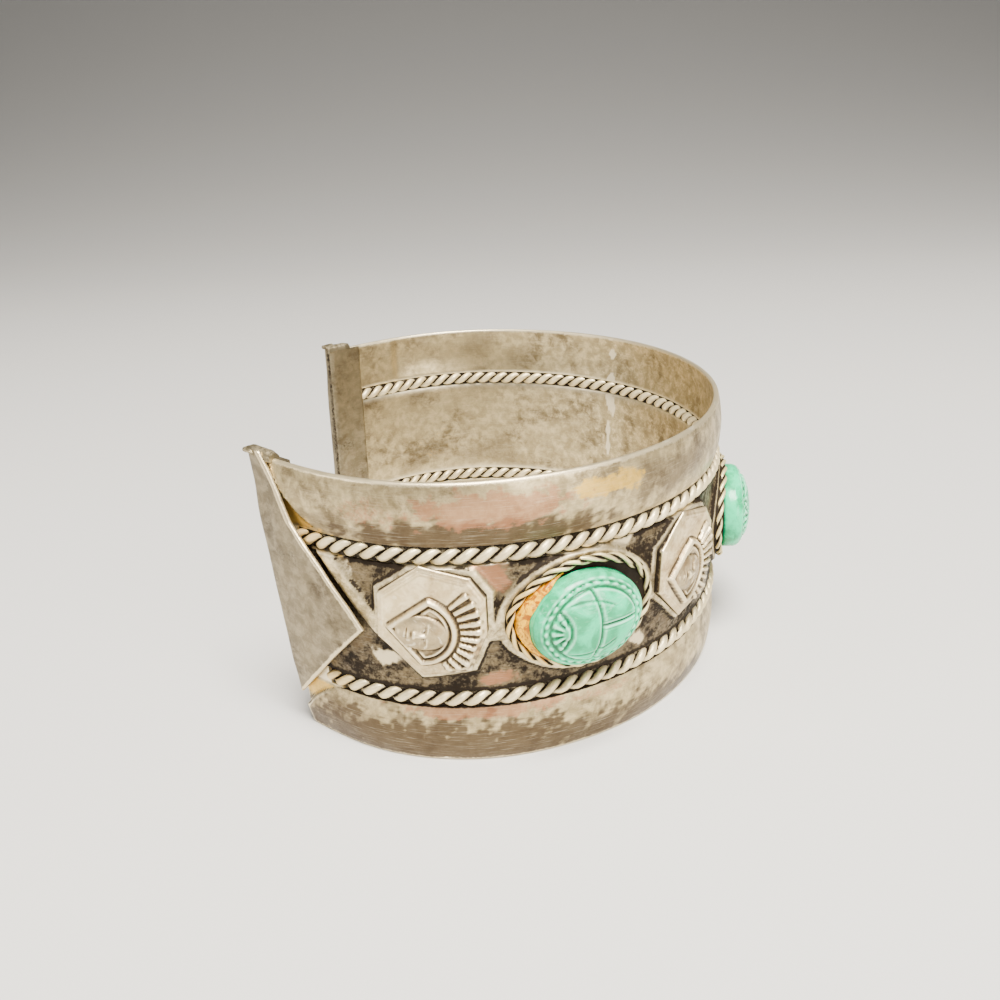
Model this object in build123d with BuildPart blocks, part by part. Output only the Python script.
from build123d import *
from collections import namedtuple
from math import atan2, cos, degrees, hypot, radians, sin, tan
import os

# A silver cuff bracelet with a row of cast mask plaques and carved scarab stones.
# Millimetres, +Z up. The cuff stands on its lower rim: the origin lies on the floor, in the
# middle of the wrist opening. The gap between the two ends faces -X, and the side that shows
# best faces -Y. Distances along the band are counted on the middle line of its sheet, from
# the middle of the band: below zero towards the near end, above zero towards the far end.
# Lifts are counted outwards from that middle line.

# Band, sheet and wire
band_height = 31.0
sheet = 0.6
rope_diameter = 1.75
piece_gap = 0.05

# Plan of the band: a middle arc, then on each side a side arc, an end arc and a straighter
# lip, all tangent
middle_reach = 29.1
middle_radius = 33.0
middle_angle = 26.0
side_radius = 30.5
side_angle = 54.0
end_radius = 23.6
end_angle = 44.4
lip_radius = 60.0

# Domed rails above and below the row of ornaments, with a taper at each end
rail_bulge = 0.5
rail_corner = 2.5
taper_reach = 10.4
taper_middle_along = 0.56
taper_middle_up = 0.40
taper_end_along = 0.87

# Row of ornaments: plaques and scarabs take turns, joined by a raised strip
plaque_length = 10.9
plaque_height = 12.2
plaque_thickness = 0.3
plaque_step = 0.15
plaque_border = 0.4
strip_rise = 0.6
strip_flange = 0.55
strip_link = 1.025
panel_margin = 0.95
waist_height = 2.4
arm_width = 1.9
arm_reach = 5.6

# Stones and their settings
oval_end_share = 0.72
stone_length = 12.0
stone_width = 9.8
stone_height = 3.5
stone_wall = 1.3
stone_shift = -0.35
cup_floor = 0.25
cup_end_room = 1.3
cup_side_room = 0.3
bezel_wire = 0.85
glue_height = 0.7
glue_span = 2.4

# Carving of the stones, with its places as shares of half the length and of the width
groove_depth = 0.3
groove_width = 0.34
rim_share = 0.80
neck_share = -0.46
collar_share = 0.32
waist_share = 0.06
wing_share = 0.84
notch_count = 5
notch_angle = 120.0
notch_share = -0.78
notch_radius = 0.66
notch_length = 1.1

# Folded caps over the two ends
cap_sheet = 0.5
cap_reach = 13.4
cap_foot = 4.4
cap_rise = 0.8
lining_rise = 0.3
cap_inner_width = 4.35
plate_room = 0.15
cap_clearance = 0.3
cap_shoulder = 1.05
cap_bend_along = 0.38
cap_bend_up = 0.59
tip_clearance = 1.25
flap_room = 0.4
flap_slope = 3.5

# Heads on the plaques: a headcloth that is pointed at the chin, a fan of ridges round the brow,
# and a plain oval face
head_tilt = -9.0
head_drop = 0.9
brow_centre = -1.1
brow_radius = 3.8
brow_start_share = 0.4
chin_reach = 3.5
chin_slope = 44.0
cloth_rise = 0.35
fan_ridges = 11
fan_angle = 98.0
fan_radius = 4.95
fan_length = 1.9
fan_ridge_width = 0.5
fan_rise = 0.5

# The plain face, with its features as shares of its length and width
face_length = 5.5
face_width = 3.95
face_shift = 0.15
face_rise = 0.75
nose_share = 0.27
nose_place_share = -0.09
nose_width = 0.6
nose_rise = 0.3
eye_share = 0.26
eye_place_share = 0.22
eye_top_share = 0.72
mouth_share = 0.33
mouth_place_share = -0.32
mouth_top_share = 0.55
feature_width = 0.38
feature_rise = 0.16

# Half depth and length of the blocks that cut through the sheet
cut_depth = 5.0
cut_length = 27.0

# The eight-sided plaque, broader on its near side. Columns: along and up, as shares of half
# the length and of half the height
PLAQUE_CORNERS = [(-0.94, 0.52), (-0.16, 1), (0.74, 0.80), (1, 0.46),
                  (1, -0.16), (0.68, -0.86), (-0.22, -1), (-1, -0.26)]

# Uneven places that the maker left, as shares of the pitch and of the row's height.
# Columns: kind, shift along the band, shift up
Place = namedtuple("Place", "kind along up")
PLACES = [
    Place("plaque", 0.01, 0.095),
    Place("scarab", 0.01, 0.050),
    Place("plaque", -0.02, 0.090),
    Place("scarab", 0.20, 0.035),
    Place("plaque", 0.18, 0.085),
    Place("scarab", 0.15, 0.045),
    Place("plaque", 0.10, 0.095),
    Place("scarab", 0.05, 0.040),
]

# The two ends. Columns: side, how far the upper corner stands out, how far the edge leans in
# below it
End = namedtuple("End", "side out lean")
NEAR_END = End(-1, 0.5, 4.2)
FAR_END = End(1, -0.3, -0.9)

# Sizes that follow from the ones above
half_sheet = sheet / 2
rope_room = rope_diameter + 2 * piece_gap
panel_height = plaque_height + 2 * panel_margin
rail_height = (band_height - panel_height) / 2 - rope_room
rail_foots = (0, band_height - rail_height)
panel_foot = rail_height + rope_room
panel_top = panel_foot + panel_height
row_height = band_height / 2
strip_lift = half_sheet + strip_rise
seat_lift = strip_lift + piece_gap
floor_lift = seat_lift + cup_floor
stone_lift = floor_lift + piece_gap
cup_length = stone_length + 2 * (cup_end_room + piece_gap)
cup_width = stone_width + 2 * (cup_side_room + piece_gap)
setting_length = cup_length + 2 * bezel_wire
setting_width = cup_width + 2 * bezel_wire
half_lengths = {"plaque": plaque_length / 2, "scarab": setting_length / 2}
pitch = sum(half_lengths.values()) + strip_link
row_half = (len(PLACES) - 1) * pitch / 2
row_end = row_half + PLACES[-1].along * pitch + half_lengths[PLACES[-1].kind]
half_length = row_half + plaque_length / 2 + tip_clearance + cap_reach
over_length = half_length + cut_depth
past_end = half_length + cut_depth / 2
fold = piece_gap + cap_sheet
flap_lift = half_sheet + flap_room
flap_top = flap_lift + cap_sheet
cap_head = band_height + cap_rise
plate_width = cap_inner_width + plate_room
lining_lift = -half_sheet - piece_gap - cap_sheet
plate_top = seat_lift + plaque_thickness

Arc = namedtuple("Arc", "x y radius start turn")


def plan_arcs():
    """The arcs of the middle line, from the near end to the far end, with a little to spare."""
    turns = [(middle_radius, middle_angle), (side_radius, side_angle), (end_radius, end_angle)]
    used = sum(radius * radians(turn) for radius, turn in turns)
    turns.append((lip_radius, degrees((over_length - used) / lip_radius)))
    x = middle_reach - middle_radius
    y = 0
    bend = middle_angle
    far_half = []
    for (radius, turn), (next_radius, next_turn) in zip(turns, turns[1:]):
        x += (radius - next_radius) * cos(radians(bend))
        y += (radius - next_radius) * sin(radians(bend))
        far_half.append(Arc(x, y, next_radius, bend, next_turn))
        bend += next_turn
    middle = Arc(middle_reach - middle_radius, 0, middle_radius, -middle_angle, 2 * middle_angle)
    near_half = [Arc(arc.x, -arc.y, arc.radius, -arc.start - arc.turn, arc.turn)
                 for arc in reversed(far_half)]
    return near_half + [middle] + far_half


def arcs_between(start, end):
    """The stretch of the middle line from one distance to another, as arcs."""
    pieces = []
    reached = -over_length
    for arc in plan_arcs():
        length = arc.radius * radians(arc.turn)
        low = max(start, reached)
        high = min(end, reached + length)
        if high > low:
            first = arc.start + degrees((low - reached) / arc.radius)
            pieces.append(Arc(arc.x, arc.y, arc.radius, first, degrees((high - low) / arc.radius)))
        reached += length
    return pieces


def face_plane(distance, height=0.0, lift=0.0):
    """A plane on the band: x runs along it, y runs up and z points outwards."""
    arc = arcs_between(distance, over_length)[0]
    angle = radians(arc.start)
    out = Vector(cos(angle), sin(angle), 0)
    origin = Vector(arc.x, arc.y, height) + out * (arc.radius + lift)
    return Plane(origin=origin, x_dir=(-sin(angle), cos(angle), 0), z_dir=out)


def along_plane(plane, distance, lift):
    """Where a point of the band lies along the x of a plane that touches it elsewhere."""
    return (face_plane(distance, 0, lift).origin - plane.origin).dot(plane.x_dir)


def section_plane(arc):
    """The upright plane at an arc's start: x is the distance from its centre, y runs up."""
    angle = radians(arc.start)
    return Plane(origin=(arc.x, arc.y, 0), x_dir=(cos(angle), sin(angle), 0),
                 z_dir=(sin(angle), -cos(angle), 0))


def centre_axis(arc):
    """The upright axis through an arc's centre."""
    return Axis((arc.x, arc.y, 0), (0, 0, 1))


def shell(start, end, inner, outer, foot, top):
    """A bent wall between two distances, two lifts and two heights."""
    with BuildPart() as wall:
        for arc in arcs_between(start, end):
            with BuildSketch(section_plane(arc)):
                with Locations((arc.radius + inner, foot)):
                    Rectangle(outer - inner, top - foot, align=(Align.MIN, Align.MIN))
            revolve(axis=centre_axis(arc), revolution_arc=arc.turn)
    return wall.part


def oval(length, width):
    """An oval of four tangent arcs, longer along x."""
    a = length / 2
    b = width / 2
    r = b * oval_end_share
    big = ((a - r) ** 2 + b**2 - r**2) / (2 * (b - r))
    reach = hypot(a - r, big - b)
    tx = (a - r) + r * (a - r) / reach
    ty = r * (big - b) / reach
    with BuildSketch() as shape:
        with BuildLine():
            ThreePointArc((-tx, ty), (0, b), (tx, ty))
            ThreePointArc((tx, ty), (a, 0), (tx, -ty))
            ThreePointArc((tx, -ty), (0, -b), (-tx, -ty))
            ThreePointArc((-tx, -ty), (-a, 0), (-tx, ty))
        make_face()
    return shape.sketch


def plaque_outline(grow=0.0):
    """The eight-sided plaque, with its edge moved out by grow."""
    corners = [(along * plaque_length / 2, up * plaque_height / 2) for along, up in PLAQUE_CORNERS]
    with BuildSketch() as shape:
        Polygon(*corners, align=None)
        if grow:
            offset(amount=grow, kind=Kind.INTERSECTION)
    return shape.sketch


def dome(inset):
    """A steep dome with an oval foot, smaller by an inset all round."""
    reach = stone_length / 2 - inset
    wall = stone_wall - inset
    crown = stone_height - inset - wall
    quarter = 90
    with BuildPart() as solid:
        with BuildSketch(Plane.XZ):
            with BuildLine():
                Line((0, 0), (reach, 0))
                Line((reach, 0), (reach, wall))
                EllipticalCenterArc((0, wall), reach, crown, start_angle=0, arc_size=quarter)
                Line((0, wall + crown), (0, 0))
            make_face()
        revolve(axis=Axis.Z)
        scale(by=(1, (stone_width / 2 - inset) / reach, 1))
    return solid.part


def line_ring(centre, radius):
    """A thin ring on the stone, as wide as a groove."""
    with BuildSketch() as ring:
        with Locations((centre, 0)):
            Circle(radius + groove_width / 2)
            Circle(radius - groove_width / 2, mode=Mode.SUBTRACT)
    return ring.sketch


def row_places():
    """The kind, the distance and the height of each ornament in the row."""
    return [(place.kind, (index + place.along) * pitch - row_half, row_height + place.up * panel_height)
            for index, place in enumerate(PLACES)]


def end_keep(end, outward):
    """The outline that an end is trimmed to: a leaning edge with a rounded lower corner."""
    room = 2 * cut_length
    head = end.side * (end.out + outward)
    foot = head - end.side * end.lean
    with BuildSketch() as keep:
        Polygon((foot, 0), (head, band_height), (head, band_height + room),
                (-end.side * room, band_height + room), (-end.side * room, 0), align=None)
        fillet(keep.vertices().sort_by_distance((foot, 0, 0))[0], rail_corner)
    return keep.sketch


def beyond_end(end, outward):
    """The space past one end of the band, for cutting."""
    with BuildPart() as cut:
        with BuildSketch(face_plane(end.side * half_length)):
            with Locations((end.side * cut_length / 4, row_height)):
                Rectangle(cut_length, band_height + cut_length)
            add(end_keep(end, outward), mode=Mode.SUBTRACT)
        extrude(amount=cut_depth, both=True)
    return cut.part


def end_strip(end, outward, inward, foot=cap_foot, top=cap_head):
    """The leaning strip along an end's edge, between two heights, as a block through the band."""
    with BuildPart() as block:
        with BuildSketch(face_plane(end.side * half_length)):
            add(end_keep(end, outward))
            add(end_keep(end, inward), mode=Mode.SUBTRACT)
            with Locations((0, (foot + top) / 2)):
                Rectangle(4 * cut_length, top - foot, mode=Mode.INTERSECT)
        extrude(amount=cut_depth, both=True)
    return block.part


def rope_reach(end, height):
    """How far a rope runs towards an end, up to the leaning plate that joins the rails there."""
    levels = (height - rope_room / 2, height + rope_room / 2)
    lean = max(end.lean * (1 - level / band_height) for level in levels)
    return half_length + end.out - lean - plate_width - 2 * piece_gap


def rail_taper(side, upright):
    """The space above the sheet that a rail's free edge leaves open as the rail narrows."""
    edge = row_height - rail_height
    start = -side * taper_reach / 2
    middle = start + side * taper_middle_along * taper_reach
    finish = start + side * taper_end_along * taper_reach
    beyond = side * taper_reach
    with BuildPart() as cut:
        with BuildSketch(face_plane(side * (half_length - taper_reach / 2), row_height)):
            with BuildLine():
                ThreePointArc((start, upright * edge),
                              (middle, upright * (edge + taper_middle_up * rail_height)),
                              (finish, upright * row_height))
                Line((finish, upright * row_height), (beyond, upright * row_height))
                Line((beyond, upright * row_height), (beyond, 0))
                Line((beyond, 0), (start, 0))
                Line((start, 0), (start, upright * edge))
            make_face()
        extrude(amount=cut_depth, both=True)
    low, high = sorted((side * (half_length - 2 * taper_reach), side * over_length))
    return cut.part & shell(low, high, half_sheet, cut_depth, 0, band_height)


row = row_places()

# Raised strip: a flange round each ornament, a narrow waist between two, an arm at each end
with BuildPart() as flanges:
    for kind, distance, height in row:
        with BuildSketch(face_plane(distance, height)):
            if kind == "plaque":
                add(plaque_outline(strip_flange))
            else:
                add(oval(setting_length + 2 * strip_flange, setting_width + 2 * strip_flange))
        extrude(amount=cut_depth, both=True)
    for (kind, distance, height), (next_kind, next_distance, next_height) in zip(row, row[1:]):
        start = distance + half_lengths[kind]
        end = next_distance - half_lengths[next_kind]
        with BuildSketch(face_plane((start + end) / 2, row_height)):
            Rectangle(end - start + strip_flange, waist_height)
        extrude(amount=cut_depth, both=True)
    for side, foot in ((-1, row_half + half_lengths["plaque"]), (1, row_end)):
        with BuildSketch(face_plane(side * (foot + arm_reach / 2), row_height)):
            with Locations((0, panel_height / 4)):
                Rectangle(hypot(arm_reach, panel_height / 2) + arm_width, arm_width,
                          rotation=side * degrees(atan2(panel_height / 2, arm_reach)))
        extrude(amount=cut_depth, both=True)

# Domed rails, each narrowing towards its ends
with BuildPart() as rails:
    for arc in arcs_between(-over_length, over_length):
        outer = arc.radius + half_sheet
        inner = arc.radius - half_sheet
        with BuildSketch(section_plane(arc)):
            for foot in rail_foots:
                middle = foot + rail_height / 2
                top = foot + rail_height
                with BuildLine():
                    ThreePointArc((outer, foot), (outer + rail_bulge, middle), (outer, top))
                    Line((outer, top), (inner, top))
                    ThreePointArc((inner, top), (inner + rail_bulge, middle), (inner, foot))
                    Line((inner, foot), (outer, foot))
                make_face()
        revolve(axis=centre_axis(arc), revolution_arc=arc.turn)
    for side in (-1, 1):
        for upright in (-1, 1):
            add(rail_taper(side, upright), mode=Mode.SUBTRACT)

# Band: the rails, the flat panel between them and the plates that join them at both ends
with BuildPart() as band:
    add(rails.part)
    add(shell(-half_length, half_length, -half_sheet, half_sheet, panel_foot, panel_top))
    for end in (NEAR_END, FAR_END):
        start, stop = sorted((end.side * (half_length - taper_reach), end.side * over_length))
        add(shell(start, stop, -half_sheet, half_sheet, 0, band_height)
            & end_strip(end, fold, -plate_width, 0, band_height))
        for foot in rail_foots:
            add(shell(start, stop, -half_sheet, half_sheet, foot, foot + rail_height))
    add(shell(-half_length, half_length, 0, strip_lift, panel_foot, panel_top) & flanges.part)
    for end in (NEAR_END, FAR_END):
        add(beyond_end(end, 0), mode=Mode.SUBTRACT)
band.part.label = "band"

# Twisted wires between the panel and the rails, as plain tubes of their full thickness
ropes = {}
for name, height in (("lower_rope", rail_height + rope_room / 2),
                     ("upper_rope", band_height - rail_height - rope_room / 2)):
    with BuildPart() as rope:
        for arc in arcs_between(-rope_reach(NEAR_END, height), rope_reach(FAR_END, height)):
            with BuildSketch(section_plane(arc)):
                with Locations((arc.radius, height)):
                    Circle(rope_diameter / 2)
            revolve(axis=centre_axis(arc), revolution_arc=arc.turn)
    rope.part.label = name
    ropes[name] = rope.part

# Folded caps: a pointed flap outside that stands off towards its tip, an end wall, a narrow
# strip inside and a small roof
caps = []
for name, end, reach in (("end_cap_near", NEAR_END, cap_reach),
                         ("end_cap_far", FAR_END, half_length - row_end - cap_clearance)):
    side = end.side
    place = face_plane(side * (half_length - reach / 2))
    stretch = sorted((side * (half_length - reach - cap_shoulder), side * over_length))
    bend_up = row_height + cap_bend_up * (cap_head - row_height)
    foot_edge = half_length + end.out - end.lean * (1 - cap_foot / band_height)
    corners = [(past_end, cap_head), (half_length - cap_shoulder, cap_head),
               (half_length - cap_bend_along * reach, bend_up), (half_length - reach, row_height),
               (foot_edge, cap_foot), (past_end, cap_foot)]
    hinge = face_plane(side * half_length, 0, flap_lift).origin
    leaf = shell(*stretch, flap_lift, flap_top, cap_foot, cap_head)
    leaf = leaf.rotate(Axis(hinge, (0, 0, 1)), side * flap_slope)
    with BuildPart() as flap:
        with BuildSketch(place):
            Polygon(*[(along_plane(place, side * x, flap_lift), z) for x, z in corners], align=None)
        extrude(amount=2 * cut_depth, both=True)
        add(leaf, mode=Mode.INTERSECT)
    with BuildPart() as cap:
        add(flap.part)
        add(shell(*stretch, lining_lift, lining_lift + cap_sheet, cap_foot, band_height + lining_rise)
            & end_strip(end, fold, -cap_inner_width))
        add(shell(*stretch, lining_lift, flap_top, band_height + piece_gap, cap_head)
            & end_strip(end, fold, -cap_shoulder))
        add(shell(*stretch, lining_lift, flap_top, cap_foot, cap_head)
            & end_strip(end, fold, piece_gap))
        add(beyond_end(end, fold), mode=Mode.SUBTRACT)
    cap.part.label = name
    caps.append(cap.part)

# Mask plaque: a stepped plate with a headcloth, a fan of ridges and a plain oval face, chin at -x
step_top = plate_top + plaque_step
head_plane = Plane(Location((0, -head_drop, step_top), (0, 0, head_tilt)))
cloth_plane = head_plane.offset(cloth_rise)
chin = brow_centre - chin_reach
cheek_reach = chin_reach + 2 * brow_radius
cheek_spread = cheek_reach * tan(radians(chin_slope))
face_centre = brow_centre + face_shift
with BuildPart() as relief:
    with BuildSketch():
        add(plaque_outline())
    extrude(amount=plate_top)
    with BuildSketch(Plane.XY.offset(plate_top)):
        add(plaque_outline(-plaque_border))
    extrude(amount=plaque_step)
    with BuildSketch(head_plane):
        with Locations((brow_centre, 0)):
            Circle(brow_radius)
        Polygon((chin, 0), (chin + cheek_reach, -cheek_spread), (chin + cheek_reach, cheek_spread),
                align=None, mode=Mode.INTERSECT)
    extrude(amount=cloth_rise)
    with BuildSketch(head_plane):
        with Locations((brow_centre, 0)):
            with PolarLocations(fan_radius, fan_ridges, start_angle=-fan_angle / 2,
                                angular_range=fan_angle, endpoint=True):
                SlotOverall(fan_length, fan_ridge_width)
    extrude(amount=fan_rise)
    with BuildSketch(Plane.XY.offset(step_top)):
        Rectangle(2 * plaque_length, 2 * plaque_height)
        add(plaque_outline(-plaque_border), mode=Mode.SUBTRACT)
    extrude(amount=fan_rise, mode=Mode.SUBTRACT)
    with BuildSketch(cloth_plane):
        with Locations((brow_centre, 0)):
            Circle(brow_radius)
            Circle(brow_radius - 2 * fan_ridge_width, mode=Mode.SUBTRACT)
            with Locations((brow_start_share * brow_radius, 0)):
                Rectangle(2 * brow_radius, 3 * brow_radius, align=(Align.MAX, Align.CENTER),
                          mode=Mode.SUBTRACT)
    extrude(amount=fan_rise / 2)
    face_sink = Vector(0, 0, face_rise - face_width / 2)
    face_origin = cloth_plane.origin + head_plane.x_dir * face_centre + face_sink
    with BuildSketch(Plane(origin=face_origin, x_dir=head_plane.x_dir, z_dir=-head_plane.y_dir)):
        Ellipse(face_length / 2, face_width / 2)
        with Locations((0, -face_width)):
            Rectangle(2 * face_length, 2 * face_width, mode=Mode.SUBTRACT)
    revolve(axis=Axis(face_origin, head_plane.x_dir))
    with BuildSketch(cloth_plane):
        with Locations((face_centre + nose_place_share * face_length, 0)):
            SlotOverall(nose_share * face_length, nose_width)
    extrude(amount=face_rise + nose_rise)
    with BuildSketch(cloth_plane):
        with Locations((face_centre, -eye_place_share * face_width),
                       (face_centre, eye_place_share * face_width)):
            SlotOverall(eye_share * face_width, feature_width, rotation=90)
    extrude(amount=eye_top_share * face_rise + feature_rise)
    with BuildSketch(cloth_plane):
        with Locations((face_centre + mouth_place_share * face_length, 0)):
            SlotOverall(mouth_share * face_width, feature_width, rotation=90)
    extrude(amount=mouth_top_share * face_rise + feature_rise)

# Carved scarab: a dome whose grooves go down to a smaller dome inside it, head at -x
half_stone = stone_length / 2
collar_radius = collar_share * stone_width
with BuildPart() as stone:
    add(dome(0))
    with BuildSketch() as inner_lines:
        add(line_ring(waist_share * half_stone - stone_width / 2, stone_width / 2))
        add(line_ring(neck_share * half_stone - collar_radius, collar_radius))
        with Locations(((waist_share + wing_share) / 2 * half_stone, 0)):
            SlotOverall((wing_share - waist_share) * half_stone, groove_width)
        with Locations((notch_share * half_stone, 0)):
            with PolarLocations(notch_radius, notch_count, start_angle=180 - notch_angle / 2,
                                angular_range=notch_angle, endpoint=True):
                SlotOverall(notch_length, groove_width)
        add(oval(rim_share * stone_length, rim_share * stone_width), mode=Mode.INTERSECT)
    extrude(amount=stone_height, mode=Mode.SUBTRACT)
    with BuildSketch() as rim_line:
        add(oval(rim_share * stone_length + groove_width, rim_share * stone_width + groove_width))
        add(oval(rim_share * stone_length - groove_width, rim_share * stone_width - groove_width),
            mode=Mode.SUBTRACT)
    extrude(amount=stone_height, mode=Mode.SUBTRACT)
    add(dome(groove_depth))

# Setting: a bed under the stone, and round it a floor and a ring of wire that follow the band
with BuildPart() as bed:
    with BuildSketch():
        with Locations((stone_shift, 0)):
            Ellipse(half_stone, stone_width / 2)
    extrude(amount=floor_lift)
with BuildPart() as floor_block:
    with BuildSketch():
        add(oval(setting_length, setting_width))
    extrude(amount=cut_depth, both=True)
with BuildPart() as ring_block:
    with BuildSketch():
        add(oval(setting_length, setting_width))
        add(oval(cup_length, cup_width), mode=Mode.SUBTRACT)
    extrude(amount=cut_depth, both=True)

# Glue squeezed out at the head end of one stone
with BuildPart() as glue_block:
    with BuildSketch():
        add(oval(cup_length, cup_width))
        offset(amount=-2 * piece_gap)
        with Locations((stone_shift, 0)):
            Ellipse(half_stone + piece_gap, stone_width / 2 + piece_gap, mode=Mode.SUBTRACT)
        with Locations((glue_span, 0)):
            Rectangle(cup_length, 2 * cup_width, mode=Mode.SUBTRACT)
    extrude(amount=cut_depth, both=True)

# Bent walls along the row: all that lies inside the pieces' seat, the floor, the ring and the glue
row_stretch = (-half_length, half_length)
inside = shell(*row_stretch, -cut_depth, seat_lift, 0, band_height)
floor_wall = shell(*row_stretch, seat_lift, floor_lift, 0, band_height)
ring_wall = shell(*row_stretch, seat_lift, seat_lift + bezel_wire, 0, band_height)
glue_wall = shell(*row_stretch, stone_lift, stone_lift + glue_height, 0, band_height)

pieces = [band.part, *ropes.values(), *caps]
counts = {"plaque": 0, "scarab": 0}
for kind, distance, height in row:
    seat = face_plane(distance, height).location
    counts[kind] += 1
    number = counts[kind]
    if kind == "plaque":
        with BuildPart() as plaque:
            add(seat * relief.part)
            add(inside, mode=Mode.SUBTRACT)
        plaque.part.label = f"mask_plaque_{number}"
        pieces.append(plaque.part)
    else:
        with BuildPart() as setting:
            add(seat * bed.part)
            add(inside, mode=Mode.SUBTRACT)
            add(seat * floor_block.part & floor_wall)
            add(seat * ring_block.part & ring_wall)
        setting.part.label = f"scarab_setting_{number}"
        scarab = seat * Location((stone_shift, 0, stone_lift)) * stone.part
        scarab.label = f"scarab_{number}"
        pieces += [setting.part, scarab]
        if number == 1:
            drop = seat * glue_block.part & glue_wall
            drop.label = "glue_1"
            pieces.append(drop)

os.makedirs("parts", exist_ok=True)
for piece in pieces:
    export_step(piece, f"parts/{piece.label}.step")
    print(piece.label, round(piece.volume, 2), len(piece.solids()), piece.is_valid)
